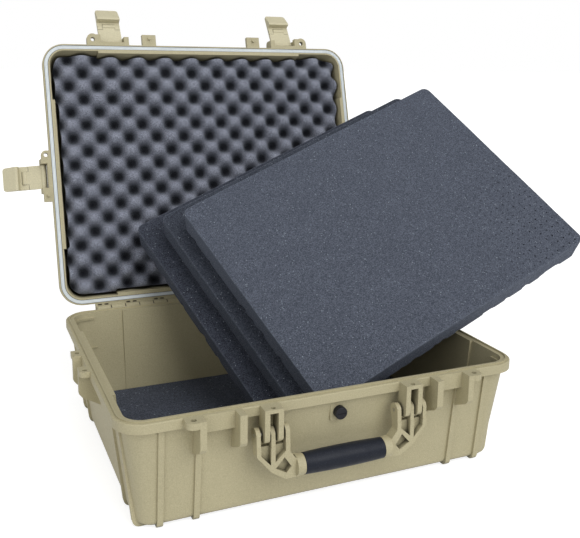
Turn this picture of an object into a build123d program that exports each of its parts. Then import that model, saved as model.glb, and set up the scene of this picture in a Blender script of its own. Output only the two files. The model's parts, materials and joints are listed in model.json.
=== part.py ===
from build123d import *
import os

# Hard equipment case: drafted base and hinged lid with four double-throw latches, a fold-down
# handle, a purge valve, a convoluted lid pad, a floor pad and three loose foam layers.
#
# Frame: X to the right, -Y towards the front latches and the handle, +Z up, origin in the middle
# of the underside.  Lid pieces are drawn shut and then turned open about the hinge line.

# ---------------------------------------------------------------- driving dimensions (mm)
rim_w, rim_d = 584.0, 458.0  # outside of the rim band, along X and Y
rim_r = 38.0  # corner radius of the rim band
base_h = 156.0  # top of the base rim above the ground
band_h = 13.0  # height of the base's rim band
wall = 4.0
foot_h = 3.0  # how far the ribs stand below the floor
wall_in_low, wall_in_high = 26.5, 10.0  # wall inset from the rim face, at the floor and the band
floor_edge_r = 10.0
floor_round = 12.0  # extra corner radius at the floor
skid_w, skid_d, skid_r = 300.0, 260.0, 12.0  # raised panel under the floor
root = 12.0  # how far the pieces on the rim run back into the wall

lid_open = 105.8  # lid angle in the modelled pose
lid_gap = 0.3  # between the shut lid and the base rim
lid_h = 56.0
lid_band_h = 12.0
lid_in_low, lid_in_high = 8.5, 17.0  # lid wall inset from the rim face, at the band and the top
lid_edge_r = 10.0
lid_rail_h = 2.5
panel_w, panel_d, panel_r, panel_deep = 340.0, 250.0, 16.0, 1.6  # panel sunk into the lid's top

hinge_out, hinge_drop = 10.4, 3.2  # hinge line behind the rim face and below the rim's top
knuckle_r = 6.5
knuckle_count = 19
hinge_len = 468.0
knuckle_gap = 1.5
web_up = 14.0  # top of the web between the lid's knuckles, above the hinge line
dash_l, dash_w, dash_deep, dash_shift = 6.8, 2.4, 7.0, 5.6  # pair of slots over each base knuckle
hinge_pin_r = 2.0
bore_gap = 0.08  # radial clearance of every pin in its bore

step = 4.0  # the walls stand in this much along their middle stretches
step_x, step_y = 195.0, 130.0  # half lengths of those stretches
mouth_in = 13.2  # inside of the base wall at the rim, from the rim face
lid_mouth_in = 11.5
seal_in, seal_w, seal_h = 2.0, 7.2, 4.0  # lid seal: inset from the rim face, width, height
seal_sunk = 0.8
seal_clear = 0.35  # between the seal and each side of its groove
seal_line_w, seal_line_deep = 0.9, 1.4  # the two fine grooves in the seal's face
seal_lines = (2.05, 4.35)  # how far in from the groove's outer side they run
tongue_in, tongue_w, tongue_h = 4.6, 2.0, 2.2
# lips round the inner corners: reach from the rim face, underside, height, inset of the inner edge
corner_lips = ((49.0, 144.5, 4.2, 16.6), (53.0, 96.0, 2.2, 22.0))

rib_w = 7.6
rib_proud = 3.0
rib_xs = (190.5, 238.0)  # front and back ribs
rib_ys = (132.8, 185.0)  # side ribs

latch_x, latch_y = 168.0, 2.0  # middles of the front latches and of the side latches
latch_w = 40.6
latch_gap = 0.7  # between a latch and the ears beside it
latch_out, latch_up = 10.0, 18.0  # latch pivot out from the rim face and above the rim's top
latch_open = 110.0  # link angle in the modelled pose
latch_t = 5.0
link_len = 25.5  # full-width plate of the link, below its pivot
lever_at = 33.0  # lever pivot below the latch pivot
hook_at = 41.4  # hook ledge below the latch pivot
latch_len = 70.0
arm_at = 26.2  # upper end of the lever's arms, below the latch pivot
cap_deep, cap_tip = 12.5, 1.0  # how far the lever's cap reaches in, at the hook and at its tip
tongue_half = 11.0  # half width of the link's tongue between the lever's arms
latch_barrel_r, tongue_barrel_r = 5.0, 4.6
latch_pin_r, latch_pin_len = 2.0, 55.0
ear_w = 8.4

catch_h, catch_out = 23.0, 1.5  # catch band under the rim, and how far it stands out
tab_x, tab_out = 202.9, 9.7  # front padlock holes: across, and out from the rim face
tab_y, side_hole_out = -33.8, 6.4  # side padlock holes
tab_r, tab_t, tab_hole_r = 10.4, 8.5, 3.8
stud_plate_t = 8.0  # plate that carries a front alignment stud
stud_x, stud_out = 101.5, 12.5  # alignment studs over the handle blocks
stud_y = 36.0  # alignment studs at the sides
stud_r, stud_len, stud_gap = 2.8, 4.0, 0.7
block_out = 19.6  # how far lugs, tabs and handle blocks stand out from the rim face
side_out = 14.0  # the same at the sides
side_block_w = 24.0  # alignment block beside each side latch
fin_low = 99.0  # lower end of the fins beside the latches

handle_out, handle_drop = 5.0, 36.5  # handle pivot out from the rim face and below its top
slot_w, prong_w = 11.4, 6.9
bridge_t = 5.0  # thickness of the handle block over its slot
prong_below, prong_r = 9.0, 8.0  # reach of a prong below the pivot, and the round of its end
finger_w, finger_r = 6.0, 9.5
finger_xs = (81.4, 101.5, 120.8)
handle_pin_r = 2.5
grip_out, grip_drop = 10.0, 48.5  # grip axis out from the rim face and below the handle's pivot
grip_r, grip_len = 14.0, 115.5
core_r, collar_r, collar_w = 9.0, 13.4, 11.0
arm_front, arm_back = 16.0, 1.5  # faces of the arms, out from the rim face
arm_pocket = 8.5  # depth of the pockets in the arms
arm_toe_x, arm_heel_x = 104.0, 84.0  # lower corners of the arms' plates
web_drop, shoulder_drop = 14.0, 25.0  # arms' web and shoulders, below the handle's pivot

valve_x, valve_z = 2.8, 124.0
valve_pad, valve_in, valve_hole_r = 25.0, 10.6, 6.0
washer_r, washer_t = 8.5, 1.2
bush_r, bush_t, neck_r, neck_len = 8.0, 2.4, 5.8, 19.0
valve_r, knob_t, knob_edge_r = 8.7, 5.2, 1.6
stem_r, stem_len, stem_gap = 2.7, 16.0, 0.3
coin_slot_w, coin_slot_deep = 1.8, 0.8
nut_r, nut_t, nut_in = 9.0, 4.5, 12.2  # valve nut, and its outer face behind the valve pad

pad_t, pad_gap, pad_edge_r = 12.5, 1.6, 1.5
layer_w, layer_d, layer_t, layer_r = 511.0, 397.0, 45.0, 12.0
layer_centre = (179.73, -11.73, 323.5)  # middle of the front layer's upper face, leaning out
layer_turn = (41.74, -14.69, 17.65)  # its turns about X, then Y, then Z
layer_fan = ((0.0, 0.0), (-24.1, 37.2), (-57.6, 72.2))  # how far each layer has slid on the next
layer_gap = 0.2
layer_edge_r = 2.5
# lid pad: inset, recess behind the lid's rim, thickness, and lean of its sides
egg_in, egg_low, egg_t, egg_lean = 18.0, 0.4, 51.3, 4.5

# ---------------------------------------------------------------- derived places
half_w, half_d = rim_w / 2, rim_d / 2
band_z = base_h - band_h
floor_z = foot_h + wall
lid_z = base_h + lid_gap
lid_top = lid_z + lid_h
hinge_y, hinge_z = half_d + hinge_out, base_h - hinge_drop
hinge_line = Axis((0, hinge_y, hinge_z), (1, 0, 0))
latch_z = base_h + latch_up
latch_half = latch_w / 2 + latch_gap
rib_in_low, rib_in_high = wall_in_low - rib_proud, wall_in_high - rib_proud
handle_y, handle_z = -half_d - handle_out, base_h - handle_drop
grip_y, grip_z = -half_d - grip_out, handle_z - grip_drop
slot_half = slot_w / 2
block_half = slot_half + prong_w

FRONT, LEFT, RIGHT = (0, -1), (-1, 0), (1, 0)  # walls, by the way they face


# ---------------------------------------------------------------- helpers
def rim_rect(inset, extra_r=0.0):
    """Rounded rectangle that follows the rim band, inset from its outer face."""
    RectangleRounded(rim_w - 2 * inset, rim_d - 2 * inset, rim_r + extra_r - inset)


def stepped_rect(inset, extra_r, notch, ends=(-1, 1)):
    """The rim outline, inset, with the middle of its sides and ends standing in by a notch."""
    rim_rect(inset, extra_r)
    for end in ends:
        with Locations((0, end * (half_d - inset - notch / 2))):
            Rectangle(2 * step_x, notch, mode=Mode.SUBTRACT)
    for side in (-1, 1):
        with Locations((side * (half_w - inset - notch / 2), 0)):
            Rectangle(notch, 2 * step_y, mode=Mode.SUBTRACT)


def rim_ring(inset, width):
    """Closed band that follows the rim."""
    rim_rect(inset)
    RectangleRounded(
        rim_w - 2 * (inset + width),
        rim_d - 2 * (inset + width),
        rim_r - inset - width,
        mode=Mode.SUBTRACT,
    )


def across(wall_side, at):
    """Plane that cuts a wall at a place along it: local x out of the rim face, local y up.

    at runs along X at the front wall and along Y at the side walls.
    """
    out_x, out_y = wall_side
    if wall_side == FRONT:
        origin = (at, -half_d, 0)
    else:
        origin = (out_x * half_w, at, 0)
    return Plane(origin=origin, x_dir=(out_x, out_y, 0), z_dir=(out_y, -out_x, 0))


def fin_outline(out, low):
    """A fin under the rim: upright outer edge, lower end cut back to the wall."""
    back = -wall_in_high - 5
    Polygon((back, low), (out - 4.5, low + 14), (out, low + 20), (out, base_h), (back, base_h), align=None)


def ear_outline():
    """A lid ear beside a latch, round over the latch pivot."""
    back = -lid_in_high
    Polygon(
        (back, lid_z),
        (latch_out + 5, lid_z),
        (latch_out + 6.5, latch_z),
        (latch_out, latch_z + 6.5),
        (back, latch_z + 12),
        align=None,
    )
    with Locations((latch_out, latch_z)):
        Circle(6.5)


def saddle_outline():
    """Lid shelf between a latch's ears, hollowed for the latch's barrel."""
    Polygon(
        (-lid_in_high, lid_z),
        (latch_out - latch_barrel_r, lid_z),
        (latch_out - latch_barrel_r, latch_z + 1),
        (-lid_in_high, latch_z + 9),
        align=None,
    )
    with Locations((latch_out, latch_z)):
        Circle(latch_barrel_r + 0.6, mode=Mode.SUBTRACT)


def tab_outline(side):
    """Half-round padlock tab at the front, seen from above, run on to the latch beside it."""
    latch_end = latch_x + latch_half
    with Locations((side * tab_x, -half_d - tab_out)):
        Circle(tab_r)
    with Locations((side * (latch_end + tab_x + tab_r) / 2, -half_d - tab_out / 2 + 4)):
        Rectangle(tab_x + tab_r - latch_end, tab_out + 8)
    with Locations((side * (latch_end + tab_x) / 2, -half_d - block_out / 2 + 0.5)):
        Rectangle(tab_x - latch_end, block_out - 1)


def side_tab_outline(wall_side):
    """Round-ended padlock tab beside a side latch, seen from above."""
    out_x = wall_side[0]
    end_r = side_out - side_hole_out
    latch_end = latch_y - latch_half
    with Locations((out_x * (half_w + side_hole_out), tab_y)):
        Circle(end_r)
    with Locations((out_x * (half_w + side_out / 2 - 4), (latch_end + tab_y) / 2)):
        Rectangle(side_out + 8, latch_end - tab_y)
    with Locations((out_x * (half_w + side_hole_out / 2 - 4), tab_y - end_r / 2)):
        Rectangle(side_hole_out + 8, end_r)


def write(piece, label, *turns):
    """Turn a finished piece into its modelled pose, label it and export it."""
    for axis, angle in turns:
        piece = piece.rotate(axis, angle)
    piece.label = label
    export_step(piece, f"parts/{label}.step")


def knuckles(first):
    """Middle along X of every second hinge knuckle, and a knuckle's half length."""
    pitch = hinge_len / knuckle_count
    middles = [(k + 0.5) * pitch - hinge_len / 2 for k in range(first, knuckle_count, 2)]
    return middles, (pitch - knuckle_gap) / 2


os.makedirs("parts", exist_ok=True)
open_lid = (hinge_line, -lid_open)

# ================================================================ base shell
with BuildPart() as base_shell:
    # drafted wall with a rounded edge round the floor
    with BuildSketch(Plane.XY.offset(foot_h)):
        rim_rect(wall_in_low, floor_round)
    with BuildSketch(Plane.XY.offset(band_z)):
        rim_rect(wall_in_high)
    loft()
    fillet(base_shell.faces().sort_by(Axis.Z)[0].edges(), floor_edge_r)

    # ribs: front to back they run on under the floor as rails, at the sides they end in feet
    rail_planes = [Plane.YZ.offset(side * x) for side in (-1, 1) for x in rib_xs]
    foot_planes = [Plane.XZ.offset(side * y) for side in (-1, 1) for y in rib_ys]
    for plane in rail_planes + foot_planes:
        half, reach = (half_d, half_d - rib_in_low) if plane in rail_planes else (half_w, 30)
        with BuildSketch(plane):
            with BuildLine():
                FilletPolyline(
                    (half - rib_in_high, band_z + 1),
                    (half - rib_in_low, 0),
                    (half - rib_in_low - reach, 0),
                    radius=floor_edge_r,
                )
                Polyline(
                    (half - rib_in_low - reach, 0),
                    (half - rib_in_low - reach, band_z + 1),
                    (half - rib_in_high, band_z + 1),
                )
            make_face()
            mirror(about=Plane.YZ)
        extrude(amount=rib_w / 2, both=True)
    with BuildSketch():
        RectangleRounded(skid_w, skid_d, skid_r)
    extrude(amount=foot_h + 1)

    # square pad round the purge valve
    with BuildSketch(Plane.XZ.offset(half_d - valve_in)):
        with Locations((valve_x, valve_z)):
            RectangleRounded(valve_pad, valve_pad, wall)
    extrude(amount=-2 * wall)

    # rim band, softened on its outer edges
    with BuildSketch(Plane.XY.offset(band_z)):
        rim_rect(0)
    extrude(amount=band_h)
    rim_loop = base_shell.edges().filter_by(lambda e: e.center().Z > base_h - 0.01)
    fillet(rim_loop, 1.6)

    # front: padlock tabs with their legs, catch bands and lugs
    for side in (-1, 1):
        with BuildSketch(Plane.XY.offset(base_h - tab_t)):
            tab_outline(side)
        extrude(amount=tab_t)
        with BuildSketch(across(FRONT, side * (latch_x + latch_half + ear_w / 2))):
            fin_outline(block_out - 1, fin_low)
        extrude(amount=ear_w / 2, both=True)
        with BuildSketch(across(FRONT, side * (latch_x - latch_half - ear_w / 2 - 0.5))):
            fin_outline(block_out, fin_low)
        extrude(amount=ear_w / 2 + 0.5, both=True)
        with BuildSketch(across(FRONT, side * latch_x)):
            with Locations(((catch_out - root) / 2, base_h - catch_h / 2)):
                Rectangle(catch_out + root, catch_h)
        extrude(amount=latch_half, both=True)

    # sides: catch bands between a padlock tab and an alignment block
    for wall_side in (LEFT, RIGHT):
        for toward in (-1, 1):
            with BuildSketch(across(wall_side, latch_y + toward * (latch_half + ear_w / 2))):
                fin_outline(side_out, fin_low)
            extrude(amount=ear_w / 2, both=True)
        with BuildSketch(Plane.XY.offset(base_h - tab_t)):
            side_tab_outline(wall_side)
        extrude(amount=tab_t)
        with BuildSketch(across(wall_side, latch_y + latch_half + side_block_w / 2)):
            with Locations(((side_out - root) / 2, base_h - tab_t / 2)):
                Rectangle(side_out + root, tab_t)
        extrude(amount=side_block_w / 2, both=True)
        with BuildSketch(across(wall_side, latch_y)):
            with Locations(((catch_out - root) / 2, base_h - catch_h / 2)):
                Rectangle(catch_out + root, catch_h)
        extrude(amount=latch_half, both=True)

    # handle blocks: a bridge with two round-ended prongs
    for side in (-1, 1):
        with BuildSketch(across(FRONT, side * stud_x)):
            with Locations((block_out / 2 - 1.5, (base_h + handle_z - prong_below) / 2)):
                Rectangle(block_out + 1, base_h - handle_z + prong_below)
            fillet(vertices().group_by(Axis.Y)[0], prong_r)
        extrude(amount=block_half, both=True)
        with BuildSketch(across(FRONT, side * stud_x)):
            with Locations((block_out / 2, base_h - bridge_t)):
                Rectangle(block_out + 8, 2 * handle_drop, align=(Align.CENTER, Align.MAX))
        extrude(amount=slot_half, both=True, mode=Mode.SUBTRACT)

    # hinge knuckles
    middles, half_len = knuckles(0)
    for x in middles:
        with BuildSketch(Plane.YZ.offset(x)):
            Polygon(
                (half_d - 4, band_z),
                (half_d, band_z),
                (hinge_y, hinge_z - knuckle_r),
                (hinge_y, hinge_z + 2),
                (half_d - 4, hinge_z + 2),
                align=None,
            )
            with Locations((hinge_y, hinge_z)):
                Circle(knuckle_r)
        extrude(amount=half_len, both=True)

    # inside of the case: deep corner pockets between thicker middle stretches
    with BuildSketch(Plane.XY.offset(floor_z)):
        stepped_rect(wall_in_low + wall, floor_round + 2, 0.6, ends=(1,))
    with BuildSketch(Plane.XY.offset(base_h)):
        stepped_rect(mouth_in, 0, step, ends=(1,))
    loft(mode=Mode.SUBTRACT)

    # lips round the corners inside
    for reach, lip_z, lip_t, lip_in in corner_lips:
        with BuildSketch(Plane.XY.offset(lip_z)):
            rim_ring(lip_in - 4, 4)
            Rectangle(rim_w - 2 * reach, rim_d, mode=Mode.SUBTRACT)
            Rectangle(rim_w, rim_d - 2 * reach, mode=Mode.SUBTRACT)
        extrude(amount=lip_t)

    # seal tongue
    with BuildSketch(Plane.XY.offset(base_h)):
        rim_ring(tongue_in, tongue_w)
    extrude(amount=tongue_h)

    # holes: padlocks, alignment studs, handle pins, hinge pin, valve
    with Locations(*[(side * tab_x, -half_d - tab_out, base_h - tab_t / 2) for side in (-1, 1)]):
        Cylinder(tab_hole_r, tab_t + 2, mode=Mode.SUBTRACT)
    side_holes = [(side * (half_w + side_hole_out), y) for side in (-1, 1) for y in (tab_y, stud_y)]
    with Locations(*[(x, y, base_h - tab_t / 2) for x, y in side_holes]):
        Cylinder(stud_r + stud_gap, tab_t + 2, mode=Mode.SUBTRACT)
    with Locations(*[(side * stud_x, -half_d - stud_out, base_h - 3) for side in (-1, 1)]):
        Cylinder(stud_r + stud_gap, stud_len + 2.1, mode=Mode.SUBTRACT)
    with Locations(*[(side * stud_x, handle_y, handle_z) for side in (-1, 1)]):
        Cylinder(handle_pin_r + bore_gap, 2 * block_half + 4, rotation=(0, 90, 0), mode=Mode.SUBTRACT)
    with Locations((0, hinge_y, hinge_z)):
        Cylinder(hinge_pin_r + bore_gap, hinge_len + 2, rotation=(0, 90, 0), mode=Mode.SUBTRACT)
    with Locations((valve_x, -half_d + mouth_in, valve_z)):
        Cylinder(valve_hole_r, 3 * mouth_in, rotation=(90, 0, 0), mode=Mode.SUBTRACT)

write(base_shell.part, "base_shell")

# ================================================================ floor pad
with BuildPart() as base_pad:
    with BuildSketch(Plane.XY.offset(floor_z)):
        rim_rect(wall_in_low + wall + pad_gap, floor_round + 2)
    extrude(amount=pad_t)
    fillet(base_pad.faces().sort_by(Axis.Z)[-1].edges(), pad_edge_r)
write(base_pad.part, "base_pad")

# ================================================================ purge valve
valve_face = -half_d + valve_in  # outer face of the wall's valve pad
with BuildPart() as valve_seal:
    with BuildSketch(Plane.XZ.offset(-valve_face)):
        with Locations((valve_x, valve_z)):
            Circle(washer_r)
            Circle(neck_r + 0.1, mode=Mode.SUBTRACT)
    extrude(amount=washer_t)
write(valve_seal.part, "valve_seal")

with BuildPart() as valve_bush:
    with BuildSketch(Plane.XZ.offset(-valve_face + washer_t)):
        with Locations((valve_x, valve_z)):
            Circle(bush_r)
    extrude(amount=bush_t)
    with BuildSketch(Plane.XZ.offset(-valve_face + washer_t)):
        with Locations((valve_x, valve_z)):
            Circle(neck_r)
    extrude(amount=-neck_len)
    with Locations((valve_x, valve_face, valve_z)):
        Cylinder(stem_r + stem_gap, 2 * neck_len + 12, rotation=(90, 0, 0), mode=Mode.SUBTRACT)
write(valve_bush.part, "valve_bush")

with BuildPart() as valve_nut:
    with BuildSketch(Plane.XZ.offset(-valve_face - nut_in)):
        with Locations((valve_x, valve_z)):
            RegularPolygon(nut_r, 6)
            Circle(neck_r, mode=Mode.SUBTRACT)
    extrude(amount=-nut_t)
write(valve_nut.part, "valve_nut")

knob_face = -valve_face + washer_t + bush_t + 0.2  # back of the knob, just clear of the bush
with BuildPart() as valve_knob:
    with BuildSketch(Plane.XZ.offset(knob_face)):
        with Locations((valve_x, valve_z)):
            Circle(valve_r)
    extrude(amount=knob_t)
    fillet(valve_knob.edges().sort_by(Axis.Y)[0], knob_edge_r)
    with BuildSketch(Plane.XZ.offset(knob_face + 0.2)):
        with Locations((valve_x, valve_z)):
            Circle(stem_r)
    extrude(amount=-stem_len)
    with BuildSketch(Plane.XZ.offset(knob_face + knob_t)):
        with Locations((valve_x, valve_z)):
            Rectangle(2 * valve_r - 5, coin_slot_w)
    extrude(amount=-coin_slot_deep, mode=Mode.SUBTRACT)
write(valve_knob.part, "valve_knob")

# ================================================================ hinge pins
for label, side in (("hinge_pin_left", -1), ("hinge_pin_right", 1)):
    with BuildPart() as hinge_pin:
        with Locations((side * hinge_len / 4, hinge_y, hinge_z)):
            Cylinder(hinge_pin_r, hinge_len / 2 - 2, rotation=(0, 90, 0))
    write(hinge_pin.part, label)

# ================================================================ handle
arm_in, arm_end = finger_xs[0] - finger_w / 2, finger_xs[2] + finger_w / 2
collar_x = grip_len / 2 + 0.5  # inner end of a collar
arm_z = handle_z - web_drop  # top of the arms' web, under the prongs of the blocks
shoulder_z = handle_z - shoulder_drop  # where the arms' straight sides end
with BuildPart() as handle_frame:
    for side in (-1, 1):
        # arm plate: two slanted edges from the outer finger down to the collar
        with BuildSketch(Plane.XZ.offset(half_d + arm_back)):
            Polygon(
                (side * arm_in, arm_z),
                (side * arm_end, arm_z),
                (side * arm_end, shoulder_z),
                (side * arm_toe_x, grip_z - 0.5),
                (side * arm_heel_x, grip_z - collar_r),
                (side * (collar_x + 2), grip_z - collar_r),
                (side * (collar_x + 2), grip_z + collar_r - 2.5),
                (side * (collar_x + 12), grip_z + collar_r - 1),
                (side * arm_in, shoulder_z),
                align=None,
            )
        extrude(amount=arm_front - arm_back)
        # fingers up to the pivot line
        for x in finger_xs:
            with BuildSketch(Plane.YZ.offset(side * x)):
                with Locations((handle_y, handle_z)):
                    Circle(finger_r)
                Polygon(
                    (handle_y - finger_r, handle_z),
                    (handle_y + finger_r, handle_z),
                    (-half_d - arm_back, arm_z - 6),
                    (-half_d - arm_front, arm_z - 6),
                    align=None,
                )
            extrude(amount=finger_w / 2, both=True)
        # collar at the end of the grip, blended into the arm
        with Locations((side * (collar_x + collar_w / 2), grip_y, grip_z)):
            Cylinder(collar_r, collar_w, rotation=(0, 90, 0))
        # weight-saving pockets in the front face of the arm
        outer_in, outer_out = finger_xs[1] + finger_w / 2, finger_xs[2] - finger_w / 2
        inner_in, inner_out = finger_xs[0] + finger_w / 2, finger_xs[1] - finger_w / 2
        with BuildSketch(Plane.XZ.offset(half_d + arm_front)):
            Polygon(
                (side * outer_out, handle_z),
                (side * outer_in, handle_z),
                (side * outer_in, grip_z + 9),
                (side * outer_out, shoulder_z),
                align=None,
            )
            Polygon(
                (side * inner_out, handle_z),
                (side * inner_in, handle_z),
                (side * inner_in, shoulder_z + 2),
                (side * inner_out, grip_z + 12.5),
                align=None,
            )
            Polygon(
                (side * (arm_toe_x - 6), grip_z + 3.5),
                (side * (arm_heel_x + 2), grip_z + 17),
                (side * (arm_heel_x - 7.5), grip_z + 3),
                (side * (arm_heel_x - 1), grip_z - 5),
                align=None,
            )
        extrude(amount=-arm_pocket, mode=Mode.SUBTRACT)
    with Locations((0, grip_y, grip_z)):
        Cylinder(core_r, 2 * (collar_x + 2), rotation=(0, 90, 0))
    # clear the prongs of the handle blocks and drill for the pins
    gap_w = finger_xs[1] - finger_xs[0] - finger_w
    for side in (-1, 1):
        with Locations(
            (side * (finger_xs[0] + finger_xs[1]) / 2, handle_y, handle_z + 2),
            (side * (finger_xs[1] + finger_xs[2]) / 2, handle_y, handle_z + 2),
        ):
            Box(gap_w, 40, 18, align=(Align.CENTER, Align.CENTER, Align.MAX), mode=Mode.SUBTRACT)
        with Locations((side * finger_xs[1], handle_y, handle_z)):
            Cylinder(handle_pin_r + bore_gap, 60, rotation=(0, 90, 0), mode=Mode.SUBTRACT)
write(handle_frame.part, "handle_frame")

with BuildPart() as handle_grip:
    with BuildSketch(Plane.YZ.offset(-grip_len / 2)):
        with Locations((grip_y, grip_z)):
            Ellipse(grip_r - 0.4, grip_r)
    with BuildSketch(Plane.YZ):
        with Locations((grip_y, grip_z)):
            Ellipse(grip_r + 0.8, grip_r + 1.2)
    with BuildSketch(Plane.YZ.offset(grip_len / 2)):
        with Locations((grip_y, grip_z)):
            Ellipse(grip_r - 0.4, grip_r)
    loft()
    with Locations((0, grip_y, grip_z)):
        Cylinder(core_r + 0.1, grip_len + 2, rotation=(0, 90, 0), mode=Mode.SUBTRACT)
write(handle_grip.part, "handle_grip")

for label, side in (("handle_pin_left", -1), ("handle_pin_right", 1)):
    with BuildPart() as handle_pin:
        with Locations((side * (finger_xs[0] + finger_xs[2]) / 2, handle_y, handle_z)):
            Cylinder(handle_pin_r, finger_xs[2] - finger_xs[0] + finger_w + 0.6, rotation=(0, 90, 0))
    write(handle_pin.part, label)

# ================================================================ lid shell
with BuildPart() as lid_shell:
    with BuildSketch(Plane.XY.offset(lid_z + lid_band_h)):
        rim_rect(lid_in_low)
    with BuildSketch(Plane.XY.offset(lid_top)):
        rim_rect(lid_in_high, 6)
    loft()
    fillet(lid_shell.faces().sort_by(Axis.Z)[-1].edges(), lid_edge_r)

    # stacking rails along the top, in line with the rails under the base
    for x in [side * rib_x for side in (-1, 1) for rib_x in rib_xs]:
        with BuildSketch(Plane.YZ.offset(x)):
            with BuildLine():
                FilletPolyline(
                    (half_d - lid_in_low + rib_proud - 1, lid_z + 6),
                    (half_d - lid_in_high + rib_proud, lid_top + lid_rail_h),
                    (0, lid_top + lid_rail_h),
                    radius=lid_edge_r,
                )
                Polyline(
                    (0, lid_top + lid_rail_h),
                    (0, lid_z + 6),
                    (half_d - lid_in_low + rib_proud - 1, lid_z + 6),
                )
            make_face()
            mirror(about=Plane.YZ)
        extrude(amount=rib_w / 2, both=True)

    with BuildSketch(Plane.XY.offset(lid_z)):
        rim_rect(0)
    extrude(amount=lid_band_h)
    band_loop = lid_shell.edges().filter_by(lambda e: e.center().Z < lid_z + 0.01)
    fillet(band_loop, 1.0)

    # front: padlock tabs, latch ears and stud plates
    for side in (-1, 1):
        with BuildSketch(Plane.XY.offset(lid_z)):
            tab_outline(side)
        extrude(amount=tab_t)
        for toward in (-1, 1):
            with BuildSketch(across(FRONT, side * (latch_x + toward * (latch_half + ear_w / 2)))):
                ear_outline()
            extrude(amount=ear_w / 2, both=True)
        with BuildSketch(across(FRONT, side * latch_x)):
            saddle_outline()
        extrude(amount=latch_half, both=True)
        with BuildSketch(across(FRONT, side * stud_x)):
            with Locations(((block_out - root) / 2, lid_z + stud_plate_t / 2)):
                Rectangle(block_out + root, stud_plate_t)
        extrude(amount=block_half, both=True)

    # sides: padlock tab on one side of the latch, stud plate on the other
    for wall_side in (LEFT, RIGHT):
        for toward in (-1, 1):
            with BuildSketch(across(wall_side, latch_y + toward * (latch_half + ear_w / 2))):
                ear_outline()
            extrude(amount=ear_w / 2, both=True)
        with BuildSketch(across(wall_side, latch_y)):
            saddle_outline()
        extrude(amount=latch_half, both=True)
        with BuildSketch(Plane.XY.offset(lid_z)):
            side_tab_outline(wall_side)
        extrude(amount=tab_t)
        with BuildSketch(across(wall_side, latch_y + latch_half + side_block_w / 2)):
            with Locations(((side_out - root) / 2, lid_z + tab_t / 2)):
                Rectangle(side_out + root, tab_t)
        extrude(amount=side_block_w / 2, both=True)

    # hinge knuckles
    middles, half_len = knuckles(1)
    for x in middles:
        with BuildSketch(Plane.YZ.offset(x)):
            Polygon(
                (half_d - 4, lid_z + 0.7),
                (hinge_y - 6, lid_z + 0.7),
                (hinge_y, hinge_z),
                (hinge_y + knuckle_r - 0.6, hinge_z + 2),
                (hinge_y + 2, lid_z + lid_band_h - 1),
                (half_d - 4, lid_z + lid_band_h),
                align=None,
            )
            with Locations((hinge_y, hinge_z)):
                Circle(knuckle_r)
        extrude(amount=half_len, both=True)

    # web that joins the knuckles, clear of the base's knuckles, with a pair of slots over each
    with BuildSketch(Plane.YZ.offset(-hinge_len / 2)):
        Polygon(
            (half_d - 4, lid_z + 0.7),
            (hinge_y - 5.8, lid_z + 0.7),
            (hinge_y - 3, hinge_z + knuckle_r + 0.6),
            (hinge_y, hinge_z + knuckle_r + 1.6),
            (hinge_y, hinge_z + web_up),
            (half_d - 4, hinge_z + web_up),
            align=None,
        )
        with Locations((hinge_y, hinge_z)):
            Circle(knuckle_r + 0.6, mode=Mode.SUBTRACT)
    extrude(amount=hinge_len)
    dashes = [(x + shift, half_d + 2) for x in knuckles(0)[0] for shift in (-dash_shift, dash_shift)]
    with BuildSketch(Plane.XY.offset(lid_z)):
        with Locations(*dashes):
            Rectangle(dash_l, dash_w)
    extrude(amount=dash_deep, mode=Mode.SUBTRACT)

    # inside
    with BuildSketch(Plane.XY.offset(lid_z)):
        stepped_rect(lid_mouth_in, 0, step)
    with BuildSketch(Plane.XY.offset(lid_top - wall)):
        stepped_rect(lid_in_high + wall, 6, step)
    loft(mode=Mode.SUBTRACT)

    # groove for the seal
    with BuildSketch(Plane.XY.offset(lid_z)):
        rim_ring(seal_in, seal_w)
    extrude(amount=seal_h, mode=Mode.SUBTRACT)

    # shallow panel sunk into the top
    with BuildSketch(Plane.XY.offset(lid_top + lid_rail_h)):
        RectangleRounded(panel_w, panel_d, panel_r)
    extrude(amount=-lid_rail_h - panel_deep, mode=Mode.SUBTRACT)

    # alignment studs
    studs = [(side * stud_x, -half_d - stud_out) for side in (-1, 1)]
    studs += [(side * (half_w + side_hole_out), stud_y) for side in (-1, 1)]
    with Locations(*[(x, y, lid_z + 1 - (stud_len + 1) / 2) for x, y in studs]):
        Cylinder(stud_r, stud_len + 1)

    # holes: padlocks, latch pins, hinge pin
    with Locations(*[(side * tab_x, -half_d - tab_out, lid_z + tab_t / 2) for side in (-1, 1)]):
        Cylinder(tab_hole_r, tab_t + 2, mode=Mode.SUBTRACT)
    tabs = [(side * (half_w + side_hole_out), tab_y, lid_z + tab_t / 2) for side in (-1, 1)]
    with Locations(*tabs):
        Cylinder(stud_r + stud_gap, tab_t + 2, mode=Mode.SUBTRACT)
    with Locations(*[(side * latch_x, -half_d - latch_out, latch_z) for side in (-1, 1)]):
        Cylinder(latch_pin_r + bore_gap, latch_pin_len, rotation=(0, 90, 0), mode=Mode.SUBTRACT)
    with Locations(*[(side * (half_w + latch_out), latch_y, latch_z) for side in (-1, 1)]):
        Cylinder(latch_pin_r + bore_gap, latch_pin_len, rotation=(90, 0, 0), mode=Mode.SUBTRACT)
    with Locations((0, hinge_y, hinge_z)):
        Cylinder(hinge_pin_r + bore_gap, hinge_len + 2, rotation=(0, 90, 0), mode=Mode.SUBTRACT)
write(lid_shell.part, "lid_shell", open_lid)

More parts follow.
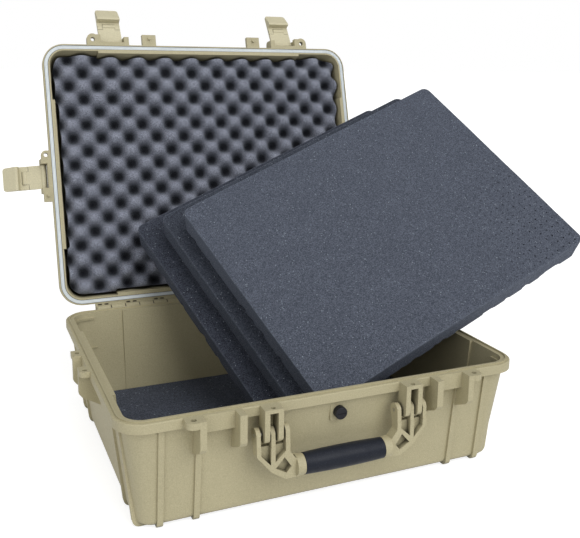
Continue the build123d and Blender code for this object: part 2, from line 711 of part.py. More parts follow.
# ================================================================ lid seal and lid pad
with BuildPart() as lid_gasket:
    with BuildSketch(Plane.XY.offset(lid_z + seal_sunk)):
        rim_ring(seal_in + seal_clear, seal_w - 2 * seal_clear)
    extrude(amount=seal_h - seal_sunk)
    for line_in in seal_lines:
        with BuildSketch(Plane.XY.offset(lid_z + seal_sunk)):
            rim_ring(seal_in + line_in, seal_line_w)
        extrude(amount=seal_line_deep, mode=Mode.SUBTRACT)
write(lid_gasket.part, "lid_gasket", open_lid)

with BuildPart() as lid_foam:
    with BuildSketch(Plane.XY.offset(lid_z + egg_low)):
        stepped_rect(egg_in, 4, step)
    with BuildSketch(Plane.XY.offset(lid_z + egg_low + egg_t)):
        stepped_rect(egg_in + egg_lean, 6, step)
    loft()
write(lid_foam.part, "lid_foam", open_lid)

# ================================================================ latches
# A latch is drawn shut at the middle of the front wall, then carried to its place.
pivot_y = -half_d - latch_out
lever_z = latch_z - lever_at

with BuildPart() as latch_link:
    with Locations((0, pivot_y, latch_z)):
        Cylinder(latch_barrel_r, latch_w, rotation=(0, 90, 0))
    with BuildSketch(Plane.XZ.offset(-pivot_y - latch_t / 2)):
        with Locations((0, latch_z - link_len / 2)):
            Rectangle(latch_w, link_len)
        with Locations((0, (latch_z - link_len + lever_z) / 2)):
            Rectangle(2 * tongue_half, latch_z - link_len - lever_z)
    extrude(amount=latch_t)
    with Locations((0, pivot_y, lever_z)):
        Cylinder(tongue_barrel_r, 2 * tongue_half, rotation=(0, 90, 0))
    for z in (latch_z, lever_z):
        with Locations((0, pivot_y, z)):
            Cylinder(latch_pin_r + bore_gap, latch_w + 2, rotation=(0, 90, 0), mode=Mode.SUBTRACT)

with BuildPart() as latch_lever:
    # cap: flush outside, a wedge inside whose upper edge is the hook
    with BuildSketch(Plane.YZ):
        Polygon(
            (pivot_y - latch_t / 2, latch_z - hook_at),
            (pivot_y - latch_t / 2, latch_z - latch_len),
            (pivot_y + cap_tip, latch_z - latch_len),
            (pivot_y + cap_deep, latch_z - hook_at - 4),
            (pivot_y + cap_deep, latch_z - hook_at),
            align=None,
        )
    extrude(amount=latch_w / 2, both=True)
    tip_corners = latch_lever.edges().filter_by(Axis.Y).group_by(Axis.Z)[0]
    fillet(tip_corners, 5.0)
    # arms up beside the link's tongue
    arm_w = latch_w / 2 - tongue_half - 0.4
    for side in (-1, 1):
        with Locations((side * (latch_w - arm_w) / 2, pivot_y, latch_z - (arm_at + hook_at) / 2)):
            Box(arm_w, latch_t, hook_at - arm_at)
    # seat between the arms, hollowed for the tongue's barrel
    with Locations((0, pivot_y, latch_z - (lever_at + hook_at) / 2)):
        Box(latch_w - arm_w, latch_t, hook_at - lever_at)
    with Locations((0, pivot_y, lever_z)):
        Cylinder(tongue_barrel_r + 0.4, 2 * tongue_half + 0.8, rotation=(0, 90, 0), mode=Mode.SUBTRACT)
    with Locations((0, pivot_y, lever_z)):
        Cylinder(latch_pin_r + bore_gap, latch_w + 2, rotation=(0, 90, 0), mode=Mode.SUBTRACT)

with BuildPart() as latch_pin:
    with Locations((0, pivot_y, latch_z)):
        Cylinder(latch_pin_r, latch_pin_len - 0.6, rotation=(0, 90, 0))

with BuildPart() as lever_pin:
    with Locations((0, pivot_y, lever_z)):
        Cylinder(latch_pin_r, latch_w - 0.6, rotation=(0, 90, 0))

side_shift = half_w - half_d
places = {
    "front_left": (0, (-latch_x, 0, 0)),
    "front_right": (0, (latch_x, 0, 0)),
    "left": (-90, (-side_shift, latch_y, 0)),
    "right": (90, (side_shift, latch_y, 0)),
}
swing_out = (Axis((0, pivot_y, latch_z), (1, 0, 0)), -latch_open)
pieces = {"link": latch_link, "lever": latch_lever, "pin": latch_pin, "lever_pin": lever_pin}
for place, (turn, shift) in places.items():
    for name, builder in pieces.items():
        swung = builder.part.rotate(*swing_out)
        seated = swung.rotate(Axis.Z, turn).translate(shift)
        write(seated, f"latch_{name}_{place}", open_lid)

# ================================================================ loose foam layers
layer_plane = Plane(Location(layer_centre, layer_turn))
for k, label in enumerate(("foam_layer_front", "foam_layer_middle", "foam_layer_rear")):
    with BuildPart() as foam_layer:
        with BuildSketch(layer_plane.offset(-k * (layer_t + layer_gap))):
            with Locations(layer_fan[k]):
                RectangleRounded(layer_w, layer_d, layer_r)
        extrude(amount=-layer_t)
        by_height = foam_layer.edges().group_by(lambda e: round(layer_plane.to_local_coords(e.center()).Z))
        fillet(by_height[-1], layer_edge_r)
    write(foam_layer.part, label)
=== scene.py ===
"""Looks of the hard equipment case: moulded shells, lid gasket, convoluted lid foam, floor pad, three
loose foam layers, rubber grip, studio floor, lights and camera.

Objects are in metres, in the CAD's frame.  The sizes below and the foam blocks are in millimetres."""

import json
import math

import bpy
import numpy as np
from mathutils import Matrix, Vector, geometry, noise


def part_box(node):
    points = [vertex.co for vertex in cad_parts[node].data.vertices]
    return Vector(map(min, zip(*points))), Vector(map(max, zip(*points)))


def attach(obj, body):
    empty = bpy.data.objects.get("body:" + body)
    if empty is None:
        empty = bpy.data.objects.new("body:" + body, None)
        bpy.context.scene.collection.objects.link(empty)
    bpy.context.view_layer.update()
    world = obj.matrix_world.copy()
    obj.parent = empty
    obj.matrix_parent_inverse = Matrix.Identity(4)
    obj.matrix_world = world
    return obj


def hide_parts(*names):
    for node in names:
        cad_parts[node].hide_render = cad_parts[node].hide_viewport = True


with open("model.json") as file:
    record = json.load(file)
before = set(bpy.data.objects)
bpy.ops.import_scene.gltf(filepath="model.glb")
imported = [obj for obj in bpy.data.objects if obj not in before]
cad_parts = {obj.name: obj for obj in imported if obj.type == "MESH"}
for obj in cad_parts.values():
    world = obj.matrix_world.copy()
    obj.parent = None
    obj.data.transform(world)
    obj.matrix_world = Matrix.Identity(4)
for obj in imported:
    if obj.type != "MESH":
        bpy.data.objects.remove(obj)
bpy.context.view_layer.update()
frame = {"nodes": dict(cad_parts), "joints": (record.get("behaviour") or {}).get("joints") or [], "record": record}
JOINTS = {joint["name"]: joint for joint in frame["joints"]}
MM = 0.001

# ------------------------------------------------------------------ sizes in millimetres
RIM_W, RIM_D, RIM_R = 584.0, 458.0, 38.0
LID_Z = 156.3  # underside of the shut lid
# the seal's edges and fine grooves: their insets, and how dark the shade painted along them is
SEAL_LINES = ((2.35, 0.95), (4.5, 0.2), (6.8, 0.2), (8.85, 0.95))
EGG_INSET, EGG_LOW, EGG_THICK = 18.0, 0.4, 51.3
EGG_EDGE = 1.8  # round of the lid pad's edges
EGG_STEP_X, EGG_STEP_Y, EGG_STEP = 195.0, 130.0, 4.0  # its sides stand in between these half lengths
EGG_PITCH_X, EGG_PITCH_Y = 50.2, 47.3
EGG_PIT = (-223.6, -180.2)  # middle of one pit, in the shut lid's frame
EGG_DEPTH, EGG_SHARP = 25.0, 1.35  # depth of a pit, and how narrow it is
EGG_LEAN = 4.5  # how far the pad's sides lean in towards the lid's top
LAYER_W, LAYER_D, LAYER_T, LAYER_R = 511.0, 397.0, 45.0, 12.0
LAYER_CENTRE = Vector((179.73, -11.73, 323.5))
LAYER_TURN = (41.74, -14.69, 17.65)
LAYER_FAN = {"front": (0.0, 0.0), "middle": (-24.1, 37.2), "rear": (-57.6, 72.2)}
LAYER_PITCH = 45.2
SLAB_EDGE = 1.3  # round of a cut slab's edges
PAD_R = 19.0  # corner radius of the floor pad
PLUCK = 12.7  # spacing of the pluck grid
SLAB_REACH, NICK_DEPTH = 6.0, 2.4  # how far in a slab's sides wander, and its deepest nick
SLAB_GRID, SLAB_GRID_QUICK = 6.0, 9.0  # mesh spacing of a slab
EGG_GRID, EGG_GRID_QUICK = 3.4, 5.0  # mesh spacing of the lid pad's ridges

# ------------------------------------------------------------------ sizes in metres
PRICK_CORE, PRICK_RIM = 0.0006, 0.0015  # round a pin-hole's middle: where it is dark, and where it ends
SEAL_LINE_CORE, SEAL_LINE_RIM = 0.0003, 0.0009  # the same for the painted shade lines on the seal
RECESS_REACH = 0.02  # recesses in the resin narrower than this get painted shade
FLOOR_SIZE, FLOOR_DROP = 60, 0.0004

# ------------------------------------------------------------------ camera and lights
CAMERA_PLACE = (-0.4545, -1.1001, 0.5847)
CAMERA_ANGLES = (-23.53, 11.10, 0.83)  # azimuth, elevation, roll
CAMERA_LENS, CAMERA_SENSOR = 49.49, 36.0
CAMERA_SHIFT = (-0.00193, -0.09493)

FLOOR_GREY, FLOOR_SEEN, FLOOR_THROWN = 0.5, 0.78, 0.4  # reflectance, and glow as seen and as thrown
SKY = 0.33  # strength of the white surroundings as a light
SUNS = (  # name, where it stands, how soft it is in degrees, strength
    ("key", (0.36, -1.0, 0.75), 42, 1.45),
    ("top", (0.05, -0.3, 1.0), 36, 0.62),
    ("left", (-1.0, -0.75, 0.55), 50, 0.6),
)

# ------------------------------------------------------------------ tones
PRICK_CLOSED = 0.28  # how strongly pin-holes show where the foam has closed over them


def turn(axis, degrees):
    return Matrix.Rotation(math.radians(degrees), 4, axis)


layer_lean = turn("X", LAYER_TURN[0]) @ turn("Y", LAYER_TURN[1]) @ turn("Z", LAYER_TURN[2])
LAYER_PLACE = Matrix.Translation(LAYER_CENTRE) @ layer_lean
hinge = Vector(JOINTS["lid_hinge"]["pos_m"]) / MM
lid_angle = JOINTS["lid_hinge"]["range_deg"][0]
OPEN_LID = Matrix.Translation(hinge) @ turn("X", lid_angle) @ Matrix.Translation(-hinge)
SHUT_LID = Matrix.Translation(hinge * MM) @ turn("X", -lid_angle) @ Matrix.Translation(-hinge * MM)


# ------------------------------------------------------------------ material helpers
class Nodes:
    """A material's node tree, with short calls that add nodes and join them."""

    def __init__(self, name):
        self.material = bpy.data.materials.new(name)
        self.material.use_nodes = True
        self.tree = self.material.node_tree
        self.shader = self.tree.nodes["Principled BSDF"]
        coordinates = self.tree.nodes.new("ShaderNodeTexCoord")
        self.place = coordinates.outputs["Object"]

    def add(self, kind, inputs=None, **settings):
        node = self.tree.nodes.new(kind)
        for key, value in settings.items():
            setattr(node, key, value)
        for key, value in (inputs or {}).items():
            self.put(node.inputs[key], value)
        return node

    def put(self, socket, value):
        if isinstance(value, bpy.types.NodeSocket):
            self.tree.links.new(value, socket)
        else:
            socket.default_value = value

    def noise(self, scale, detail=2.0, roughness=0.5, place=None):
        inputs = {"Vector": place or self.place, "Scale": scale, "Detail": detail, "Roughness": roughness}
        return self.add("ShaderNodeTexNoise", inputs).outputs["Fac"]

    def cells(self, scale, feature="F1", place=None):
        inputs = {"Vector": place or self.place, "Scale": scale}
        return self.add("ShaderNodeTexVoronoi", inputs, feature=feature)

    def levels(self, value, low, high, to_low=0.0, to_high=1.0):
        inputs = {"Value": value, "From Min": low, "From Max": high, "To Min": to_low, "To Max": to_high}
        return self.add("ShaderNodeMapRange", inputs).outputs["Result"]

    def math(self, operation, a, b=0.0):
        return self.add("ShaderNodeMath", {0: a, 1: b}, operation=operation).outputs[0]

    def mix(self, amount, a, b):
        node = self.add("ShaderNodeMix", data_type="RGBA")
        colours = [socket for socket in node.inputs if socket.type == "RGBA"]
        self.put(node.inputs[0], amount)
        self.put(colours[0], a if isinstance(a, bpy.types.NodeSocket) else (*a, 1.0))
        self.put(colours[1], b if isinstance(b, bpy.types.NodeSocket) else (*b, 1.0))
        return [socket for socket in node.outputs if socket.type == "RGBA"][0]

    def bump(self, height, distance, strength=1.0, normal=None):
        inputs = {"Height": height, "Distance": distance, "Strength": strength}
        node = self.add("ShaderNodeBump", inputs)
        if normal is not None:
            self.put(node.inputs["Normal"], normal)
        return node.outputs["Normal"]

    def finish(self, **sockets):
        for name, value in sockets.items():
            self.put(self.shader.inputs[name.replace("_", " ")], value)
        return self.material


def linear(red, green, blue):
    """An sRGB colour, 0 to 255, as linear light."""
    def one(value):
        value /= 255
        return value / 12.92 if value <= 0.04045 else ((value + 0.055) / 1.055) ** 2.4
    return (one(red), one(green), one(blue))


# ------------------------------------------------------------------ materials
def moulded_plastic(name, colour, grain=1.0):
    """Pebble-grained structural resin with faint flow marks, paler scuffs, and painted shade darkening its narrow
    recesses.
    """

    def shade(scale, lift=0.0):
        return tuple(min(1.0, c * scale + lift) for c in colour)

    n = Nodes(name)
    flow = n.levels(n.noise(9.0, 3.0), 0.35, 0.65)
    tone = n.mix(flow, shade(0.94), shade(1.05))
    speck = n.levels(n.noise(620.0, 3.0, 0.7), 0.36, 0.64)
    mixed = n.mix(0.6, tone, n.mix(speck, shade(0.84), shade(1.12, 0.01)))
    scuffs = n.levels(n.noise(60.0, 8.0, 0.75), 0.66, 0.74, 0.0, 0.3)
    wear_and_shade = n.mix(scuffs, mixed, shade(1.2, 0.03))
    # painted shade: the colour darkens in narrow recesses that see little of the sky
    sky = n.add("ShaderNodeAmbientOcclusion", {"Distance": RECESS_REACH}, samples=8).outputs["AO"]
    wear_and_shade = n.mix(n.levels(sky, 0.08, 0.5, 0.9, 0.0), wear_and_shade, shade(0.1))
    pebble = n.cells(780.0, "SMOOTH_F1").outputs["Distance"]
    bumps = n.bump(pebble, 0.0003 * grain, 0.7)
    bumps = n.bump(n.noise(2400.0, 2.0), 0.00008 * grain, 0.5, bumps)
    bumps = n.bump(n.noise(26.0, 2.0), 0.0006, 0.25, bumps)
    rough = n.levels(n.noise(300.0, 3.0), 0.3, 0.7, 0.48, 0.62)
    return n.finish(Base_Color=wear_and_shade, Roughness=rough, Normal=bumps, Specular_IOR_Level=0.4)


def foam_skin(n, dark, light, cell=560.0):
    """Colour and normal of open-cell foam: uneven grains, dark pores, glints and soft mottling."""
    grain = n.add("ShaderNodeSeparateColor", {0: n.cells(cell).outputs["Color"]})
    pores = n.cells(cell * 1.7).outputs["Distance"]
    tone = n.mix(n.levels(grain.outputs[0], 0.0, 1.0), dark, light)
    tone = n.mix(n.levels(pores, 0.25, 0.6, 0.2, 0.0), tone, tuple(c * 0.35 for c in dark))
    tone = n.mix(n.levels(n.noise(30.0, 4.0, 0.6), 0.3, 0.7, 0.0, 0.22), tone, dark)
    glint = n.math("GREATER_THAN", grain.outputs[1], 0.9935)
    tone = n.mix(n.math("MULTIPLY", glint, 0.5), tone, linear(176, 186, 196))
    normal = n.bump(pores, 0.0007, 0.7)
    normal = n.bump(n.noise(cell * 1.9, 2.0, 0.6), 0.0004, 0.6, normal)
    return tone, normal


def foam_finish(n, tone, normal, sheen, spread, tint):
    """Matt foam with a faint sheen of fibres."""
    return n.finish(
        Base_Color=tone,
        Roughness=0.95,
        Normal=normal,
        Specular_IOR_Level=0.12,
        Sheen_Weight=sheen,
        Sheen_Roughness=spread,
        Sheen_Tint=(*tint, 1.0),
    )


def layer_foam(name, dark, light):
    """Pluck foam: open cells, and the pin-prick rows of the 12.7 mm pluck grid, deeper near a corner."""
    n = Nodes(name)
    tone, normal = foam_skin(n, dark, light, 860.0)
    local = n.add("ShaderNodeAttribute", attribute_name="flat").outputs["Vector"]
    across = n.add("ShaderNodeSeparateXYZ", {0: local})
    holes = []
    for axis in ("X", "Y"):
        turned = n.math("PINGPONG", across.outputs[axis], PLUCK * MM / 2)
        holes.append(n.levels(turned, PRICK_CORE, PRICK_RIM, 1.0, 0.0))
    prick = n.math("MULTIPLY", holes[0], holes[1])
    rim = n.cells(260.0, place=local).outputs["Distance"]
    prick = n.math("MULTIPLY", prick, n.levels(rim, 0.2, 0.5))
    # the holes stand open towards the right front corner
    open_x = n.levels(across.outputs["X"], 0.09, 0.22)
    open_y = n.levels(across.outputs["Y"], 0.06, -0.16)
    strength = n.math("ADD", n.math("MULTIPLY", open_x, open_y), PRICK_CLOSED)
    prick = n.math("MULTIPLY", prick, strength)
    tone = n.mix(n.math("MULTIPLY", prick, 0.95), tone, (0.002, 0.002, 0.004))
    arris = n.add("ShaderNodeAttribute", attribute_name="arris").outputs["Fac"]
    # painted highlight: a paler line along the top arris
    tone = n.mix(n.math("MULTIPLY", arris, 0.15), tone, linear(118, 124, 136))
    normal = n.bump(n.math("MULTIPLY", prick, -1.0), 0.0015, 1.0, normal)
    return foam_finish(n, tone, normal, 0.3, 0.6, linear(150, 160, 180))


def plain_foam(name, dark, light):
    """Foam without a pluck grid."""
    n = Nodes(name)
    tone, normal = foam_skin(n, dark, light)
    return foam_finish(n, tone, normal, 0.35, 0.55, linear(170, 178, 195))


def convoluted_foam():
    """Egg-crate foam: painted shade, darker towards the bottom of its pits, from the depth stored on the mesh."""
    n = Nodes("convoluted_foam")
    tone, normal = foam_skin(n, linear(106, 110, 123), linear(156, 160, 173), 800.0)
    depth = n.add("ShaderNodeAttribute", attribute_name="depth").outputs["Fac"]
    # painted shade, darkest at the bottom of the pits
    tone = n.mix(n.levels(depth, 0.1, 0.74, 0.0, 0.98), tone, linear(8, 9, 15))
    return foam_finish(n, tone, normal, 0.35, 0.55, linear(190, 198, 212))


def gasket_rubber():
    """Pale silicone with painted shade in its two fine grooves and along its edges."""
    n = Nodes("gasket_rubber")
    seat = SHUT_LID @ frame["nodes"]["lid_gasket"].matrix_world
    turned = {"Vector": n.place, "Location": seat.to_translation(), "Rotation": seat.to_euler()}
    shut = n.add("ShaderNodeMapping", turned).outputs[0]
    core = ((RIM_W / 2 - RIM_R) * MM, (RIM_D / 2 - RIM_R) * MM, 1.0)
    away = n.add("ShaderNodeVectorMath", {0: shut}, operation="ABSOLUTE").outputs[0]
    away = n.add("ShaderNodeVectorMath", {0: away, 1: core}, operation="SUBTRACT").outputs[0]
    away = n.add("ShaderNodeVectorMath", {0: away, 1: (0, 0, 0)}, operation="MAXIMUM").outputs[0]
    reach = n.add("ShaderNodeVectorMath", {0: away}, operation="LENGTH").outputs["Value"]
    inset = n.math("SUBTRACT", RIM_R * MM, reach)
    tone = n.mix(n.noise(70.0, 3.0), linear(222, 230, 233), linear(240, 246, 248))
    dusty = n.levels(n.noise(900.0, 2.0), 0.6, 0.8, 0.0, 0.3)
    tone = n.mix(dusty, tone, linear(160, 172, 182))
    # painted shade along the seal's edges and in its two fine grooves
    for line, depth in SEAL_LINES:
        off = n.math("ABSOLUTE", n.math("SUBTRACT", inset, line * MM))
        tone = n.mix(n.levels(off, SEAL_LINE_CORE, SEAL_LINE_RIM, depth, 0.0), tone, linear(44, 48, 50))
    normal = n.bump(n.noise(1800.0, 2.0), 0.00008, 0.4)
    return n.finish(Base_Color=tone, Roughness=0.42, Normal=normal, Specular_IOR_Level=0.5)


def black_rubber(name, colour, rough, shine=0.5):
    """Dark rubber or plastic with fine pale specks painted in as glints, and uneven wear."""
    n = Nodes(name)
    tone = n.mix(n.noise(500.0, 4.0), colour, tuple(c * 1.7 + 0.004 for c in colour))
    # painted glints: fine pale specks mixed into the colour
    speck = n.levels(n.noise(1100.0, 2.0, 0.6), 0.6, 0.72, 0.0, 0.12)
    tone = n.mix(speck, tone, linear(150, 158, 172))
    normal = n.bump(n.cells(1500.0, "SMOOTH_F1").outputs["Distance"], 0.00012, 0.5)
    wear = n.levels(n.noise(120.0, 5.0), 0.3, 0.7, rough - 0.06, rough + 0.1)
    return n.finish(Base_Color=tone, Roughness=wear, Normal=normal, Specular_IOR_Level=shine)


def brushed_steel():
    """Bare metal with a fine grain that runs along X."""
    n = Nodes("steel")
    stretch = n.add("ShaderNodeMapping", {"Vector": n.place, "Scale": (40.0, 1600.0, 1600.0)}).outputs[0]
    grain = n.noise(1.0, 3.0, place=stretch)
    tone = n.mix(grain, linear(150, 148, 140), linear(205, 203, 196))
    return n.finish(Base_Color=tone, Metallic=1.0, Roughness=n.levels(grain, 0.3, 0.7, 0.22, 0.42))


TAN = linear(174, 166, 134)
LATCH_TAN = linear(198, 191, 161)
LAYER_TONES = {  # each layer's darker and lighter grains; the middle and rear layers are darker copies, painted shade for the shadow of the layers in front of them
    "front": (linear(58, 62, 72), linear(102, 108, 121)),
    "middle": (linear(36, 39, 47), linear(82, 87, 98)),
    "rear": (linear(28, 31, 38), linear(78, 82, 94)),
}


# ------------------------------------------------------------------ mesh helpers
def rounded_rect(half_x, half_y, radius, spacing):
    """Points round a rounded rectangle, about evenly spaced, anticlockwise from the right side."""
    points = []
    corners = [(1, 1, 0), (-1, 1, 90), (-1, -1, 180), (1, -1, 270)]
    arc_steps = max(4, int(radius * math.pi / 2 / spacing))
    for index, (sx, sy, start) in enumerate(corners):
        centre = (sx * (half_x - radius), sy * (half_y - radius))
        for k in range(arc_steps + 1):
            a = math.radians(start + 90 * k / arc_steps)
            points.append((centre[0] + radius * math.cos(a), centre[1] + radius * math.sin(a)))
        following = corners[(index + 1) % 4]
        a = math.radians(start + 90)
        end = (
            following[0] * (half_x - radius) + radius * math.cos(a),
            following[1] * (half_y - radius) + radius * math.sin(a),
        )
        length = math.hypot(end[0] - points[-1][0], end[1] - points[-1][1])
        count = max(1, int(length / spacing))
        begin = points[-1]
        points += [
            (begin[0] + (end[0] - begin[0]) * k / count, begin[1] + (end[1] - begin[1]) * k / count)
            for k in range(1, count)
        ]
    return points


# ------------------------------------------------------------------ foam pieces
class Block:
    """A slab under its outline: its points in millimetres, its faces, and what each point is for.

    The arrises are quarter rounds and the flat faces are filled with an even grid.  "share" is 0 at the
    bottom and 1 at the top, and "arris" is 1 on the two rounded edges.
    """

    def __init__(self, outline, thick, arris, spacing, rows, fine_top=None):
        ring = np.array(outline)
        run = np.roll(ring, -1, 0) - np.roll(ring, 1, 0)
        outward = np.stack([run[:, 1], -run[:, 0]], 1) / np.linalg.norm(run, axis=1)[:, None]
        rounds = [math.radians(90 * k / 3) for k in range(4)]
        profile = [(arris + 1.0, 0.0)]
        profile += [(arris * (1 - math.sin(a)), arris * (1 - math.cos(a))) for a in rounds]
        sides = [(0.0, arris + (thick - 2 * arris) * k / rows) for k in range(1, rows)]
        profile += sides + [(inset, thick - drop) for inset, drop in reversed(profile)]
        rings = [
            np.column_stack([ring - outward * inset, np.full(len(ring), -drop)]) for inset, drop in profile
        ]
        on_arris = [0.0] + [1.0] * 4 + [0.0] * len(sides) + [1.0] * 4 + [0.0]
        count, last = len(ring), len(profile) - 1
        points, mark = list(rings), [np.full(count, value) for value in on_arris]
        self.faces = [
            (a + i, b + i, b + (i + 1) % count, a + (i + 1) % count)
            for a, b in ((r * count, (r + 1) * count) for r in range(last))
            for i in range(count)
        ]
        used = count * len(rings)
        for level, z, step, order in ((0, 0.0, fine_top or spacing, 1), (last, -thick, spacing, -1)):
            fill = grid_inside(ring - outward * (arris + 1.0 + step * 0.55), step)
            triangles = fill_face(rings[level][:, :2], fill)
            index = [level * count + i for i in range(count)] + [used + i for i in range(len(fill))]
            self.faces += [tuple(index[i] for i in triangle[::order]) for triangle in triangles]
            points.append(np.column_stack([fill, np.full(len(fill), z)]))
            mark.append(np.zeros(len(fill)))
            used += len(fill)
        self.points, self.arris = np.concatenate(points), np.concatenate(mark)
        self.share = 1.0 + self.points[:, 2] / thick

    def mesh(self, name, points, place):
        """A mesh of the block with its points moved, carried to its place."""
        matrix = np.array(place)
        moved = (points @ matrix[:3, :3].T + matrix[:3, 3]) * MM
        mesh = bpy.data.meshes.new(name)
        mesh.from_pydata(moved.tolist(), [], self.faces)
        mesh.polygons.foreach_set("use_smooth", [True] * len(mesh.polygons))
        return mesh


def grid_inside(outline, step):
    """Points of an even grid that lie inside an outline."""
    low, high = outline.min(0), outline.max(0)
    x, y = np.meshgrid(np.arange(low[0], high[0], step), np.arange(low[1], high[1], step))
    x, y = x.ravel(), y.ravel()
    inside = np.zeros(len(x), bool)
    for (ax, ay), (bx, by) in zip(outline, np.roll(outline, -1, 0)):
        if ay != by:
            crosses = (ay > y) != (by > y)
            inside ^= crosses & (x < ax + (bx - ax) * (y - ay) / (by - ay))
    return np.column_stack([x[inside], y[inside]])


def fill_face(ring, fill):
    """Triangles that join a ring and the points inside it, anticlockwise."""
    flat = [Vector(p) for p in np.concatenate([ring, fill])]
    result = geometry.delaunay_2d_cdt(flat, [], [list(range(len(ring)))], 1, 1e-5)
    triangles, origin = result[2], result[3]
    return [[origin[i][0] for i in triangle] for triangle in triangles]


def store(mesh, name, values, kind):
    """Keep a value for each point on the mesh, for its material to read."""
    attribute = mesh.attributes.new(name, kind, "POINT")
    channel = "vector" if kind == "FLOAT_VECTOR" else "value"
    attribute.data.foreach_set(channel, np.asarray(values, np.float32).ravel())


def wander(points, size, scale, seed):
    """Smooth noise at each point."""
    shift = Vector((seed * 13.7, seed * 5.3, seed * 2.9))
    return np.array([noise.noise(Vector(p) * scale + shift) for p in points]) * size


def foam_piece(name, mesh, material, body, node):
    """A finished foam mesh as a piece that rides on its body and stands for its CAD node."""
    mesh.materials.append(material)
    piece = bpy.data.objects.new(name, mesh)
    bpy.context.scene.collection.objects.link(piece)
    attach(piece, body)
    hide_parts(node)


def rounded_inward(points, half_x, half_y, corner):
    """How far each point is inside a rounded rectangle, and the unit direction back to the middle."""
    core_x = np.clip(points[:, 0], corner - half_x, half_x - corner)
    core_y = np.clip(points[:, 1], corner - half_y, half_y - corner)
    away = np.stack([points[:, 0] - core_x, points[:, 1] - core_y], 1)
    length = np.linalg.norm(away, axis=1)
    from_sides = np.minimum(half_x - abs(points[:, 0]), half_y - abs(points[:, 1]))
    depth = np.where(length > 0, corner - length, from_sides)
    direction = -away / np.maximum(length, 1e-6)[:, None]
    return depth, direction


def cut_slab(name, half_x, half_y, thick, corner, seed, place, material, body, node):
    """A cut foam slab: crisp arrises, slightly wavy faces and sides, and nicks along its lower edge."""
    spacing = SLAB_GRID
    block = Block(rounded_rect(half_x, half_y, corner, spacing / 2), thick, SLAB_EDGE, spacing, 9)
    points = block.points
    inside, direction = rounded_inward(points, half_x, half_y, corner)
    edge = np.clip(1.0 - inside / SLAB_REACH, 0.0, 1.0)
    lower = np.clip(1.0 - block.share * 3.0, 0.0, 1.0)
    bite = np.clip(wander(points, 1.0, 0.06, seed) - 0.2, 0.0, None) * 9.0
    pull = np.clip(wander(points, 0.5, 0.011, seed + 3) + 0.12, 0.0, 1.0)
    inward = edge * (pull + np.clip(bite, 0.0, NICK_DEPTH) * (0.12 + 0.88 * lower))
    moved = points.copy()
    moved[:, :2] += direction * inward[:, None]
    waves = 0.12 + wander(points, 0.5, 0.009, seed + 7) + wander(points, 0.12, 0.09, seed + 9)
    sink = np.clip(waves, 0.0, 1.0)
    moved[:, 2] = -thick / 2 + (points[:, 2] + thick / 2) * (1.0 - sink * 2.0 / thick)
    mesh = block.mesh(name, moved, place)
    store(mesh, "flat", points * MM, "FLOAT_VECTOR")
    # the top arris only, where the material paints a highlight
    store(mesh, "arris", block.arris * (block.share > 0.5), "FLOAT")
    foam_piece(name, mesh, material, body, node)


def step_outline(inset, corner):
    """The lid pad's outline: a rounded rectangle whose sides stand in along their middle stretches."""
    half_x, half_y = RIM_W / 2 - inset, RIM_D / 2 - inset
    points = []
    for x, y in rounded_rect(half_x, half_y, corner, 4.0):
        if abs(x) > half_x - 0.01 and abs(y) < EGG_STEP_Y:
            x -= math.copysign(EGG_STEP, x)
        if abs(y) > half_y - 0.01 and abs(x) < EGG_STEP_X:
            y -= math.copysign(EGG_STEP, y)
        points.append((x, y))
    return points


def lid_foam(material):
    """Convoluted foam: rows of deep pits between rounded ridges, cut off along its edges."""
    spacing = EGG_GRID
    outline = step_outline(EGG_INSET + 0.2, RIM_R + 4 - EGG_INSET)
    block = Block(outline, EGG_THICK, EGG_EDGE, 12.0, 8, spacing)
    points, share = block.points, block.share
    # seen from the ridges' side the slab is turned over, so x changes sign against the shut lid's frame
    shut_x, shut_y = -points[:, 0], points[:, 1]
    level = points * (1, 1, 0)
    drift_x = wander(level, 1.2, 0.012, 4)
    drift_y = wander(level, 1.2, 0.012, 8)
    wave_x = np.cos(2 * math.pi * (shut_x - EGG_PIT[0] + drift_x) / EGG_PITCH_X)
    wave_y = np.cos(2 * math.pi * (shut_y - EGG_PIT[1] + drift_y) / EGG_PITCH_Y)
    uneven = 1.0 + wander(level, 0.2, 0.03, 12)
    pit = ((1.0 + wave_x * wave_y) / 2) ** EGG_SHARP
    moved = points.copy()
    moved[:, 2] -= pit * EGG_DEPTH * uneven * share
    # the wall of the slab leans in towards the lid's top
    moved[:, :2] *= (1.0 - (1.0 - share) * EGG_LEAN / (RIM_D / 2))[:, None]
    over = Matrix.Translation((0, 0, LID_Z + EGG_LOW)) @ turn("Y", 180)
    mesh = block.mesh("lid_foam_convoluted", moved, OPEN_LID @ over)
    # how deep each point lies in a pit, for the painted shade in the pits
    store(mesh, "depth", pit * share ** 4, "FLOAT")
    foam_piece("lid_foam_convoluted", mesh, material, "lid", "lid_foam")


for order, (which, fan) in enumerate(LAYER_FAN.items()):
    seat = LAYER_PLACE @ Matrix.Translation((fan[0], fan[1], -order * LAYER_PITCH))
    cut_slab(
        f"foam_{which}_cut", LAYER_W / 2, LAYER_D / 2, LAYER_T, LAYER_R, order + 1, seat,
        layer_foam(f"foam_{which}", *LAYER_TONES[which]), f"foam_{which}", f"foam_layer_{which}",
    )

low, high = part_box("base_pad")
pad_seat = Matrix.Translation(((low.x + high.x) / 2 / MM, (low.y + high.y) / 2 / MM, high.z / MM))
pad_x, pad_y = (high.x - low.x) / 2 / MM, (high.y - low.y) / 2 / MM
cut_slab(
    "base_pad_cut", pad_x, pad_y, (high.z - low.z) / MM, PAD_R, 5, pad_seat,
    plain_foam("floor_foam", linear(26, 28, 35), linear(76, 81, 94)), "base", "base_pad",
)
lid_foam(convoluted_foam())


# ------------------------------------------------------------------ finishes of the CAD parts
def paint(node, material):
    """Give a CAD node its material."""
    mesh = frame["nodes"][node].data
    mesh.materials.clear()
    mesh.materials.append(material)


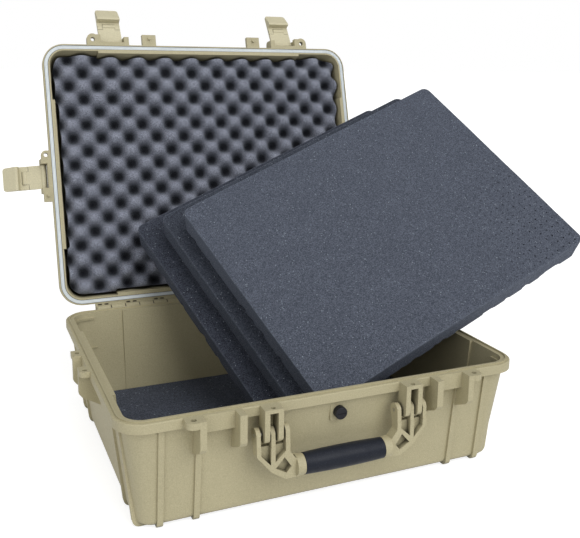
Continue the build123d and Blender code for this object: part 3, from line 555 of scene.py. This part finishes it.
finishes = {
    "shell": moulded_plastic("shell_resin", TAN),
    "latch": moulded_plastic("latch_resin", LATCH_TAN, 0.6),
    "steel_pin": brushed_steel(),
    "grip": black_rubber("grip_rubber", (0.006, 0.008, 0.014), 0.45, 0.22),
    "seal": gasket_rubber(),
    "black_rubber": black_rubber("valve_rubber", (0.01, 0.01, 0.01), 0.6),
    "black_plastic": black_rubber("valve_plastic", (0.006, 0.006, 0.009), 0.42, 0.3),
}
for row in frame["record"]["subparts"]:
    if row["material_slot"] in finishes:
        paint(row["node"], finishes[row["material_slot"]])


# ------------------------------------------------------------------ studio
def studio():
    """White floor and surroundings, and the soft lights."""
    bpy.ops.mesh.primitive_plane_add(size=FLOOR_SIZE, location=(0, 0, -FLOOR_DROP))
    floor = bpy.context.object
    floor.name = "studio_floor"
    n = Nodes("studio_floor")
    # the floor looks white but throws little light up at the object
    seen = n.add("ShaderNodeLightPath").outputs["Is Camera Ray"]
    floor.data.materials.append(n.finish(
        Base_Color=(FLOOR_GREY, FLOOR_GREY, FLOOR_GREY, 1.0),
        Roughness=0.9,
        Specular_IOR_Level=0.0,
        Emission_Color=(1.0, 1.0, 1.0, 1.0),
        Emission_Strength=n.levels(seen, 0.0, 1.0, FLOOR_THROWN, FLOOR_SEEN),
    ))
    world = bpy.data.worlds.new("studio")
    bpy.context.scene.world = world
    world.use_nodes = True
    tree = world.node_tree
    background = tree.nodes["Background"]
    background.inputs["Color"].default_value = (1.0, 1.0, 1.0, 1.0)
    # white behind the object, dimmer as a light
    path = tree.nodes.new("ShaderNodeLightPath")
    strength = tree.nodes.new("ShaderNodeMapRange")
    strength.inputs["To Min"].default_value = SKY
    tree.links.new(path.outputs["Is Camera Ray"], strength.inputs["Value"])
    tree.links.new(strength.outputs["Result"], background.inputs["Strength"])

    for name, place, spread, strength in SUNS:
        data = bpy.data.lights.new(name, "SUN")
        data.energy = strength
        data.angle = math.radians(spread)
        lamp = bpy.data.objects.new(name, data)
        lamp.rotation_euler = Vector(place).to_track_quat("Z", "Y").to_euler()
        bpy.context.scene.collection.objects.link(lamp)


def camera():
    """The camera in front of the object, to its left and a little above it."""
    data = bpy.data.cameras.new("camera")
    data.sensor_width = CAMERA_SENSOR
    data.lens = CAMERA_LENS
    data.shift_x, data.shift_y = CAMERA_SHIFT
    data.clip_end = 50
    view = bpy.data.objects.new("camera", data)
    azimuth, elevation, roll = (math.radians(a) for a in CAMERA_ANGLES)
    level = math.cos(elevation)
    back = Vector((math.sin(azimuth) * level, -math.cos(azimuth) * level, math.sin(elevation)))
    view.rotation_mode = "QUATERNION"
    view.rotation_quaternion = back.to_track_quat("Z", "Y") @ Matrix.Rotation(roll, 3, "Z").to_quaternion()
    view.location = CAMERA_PLACE
    bpy.context.scene.collection.objects.link(view)
    bpy.context.scene.camera = view


studio()
camera()
bpy.context.scene.view_settings.view_transform = "Standard"
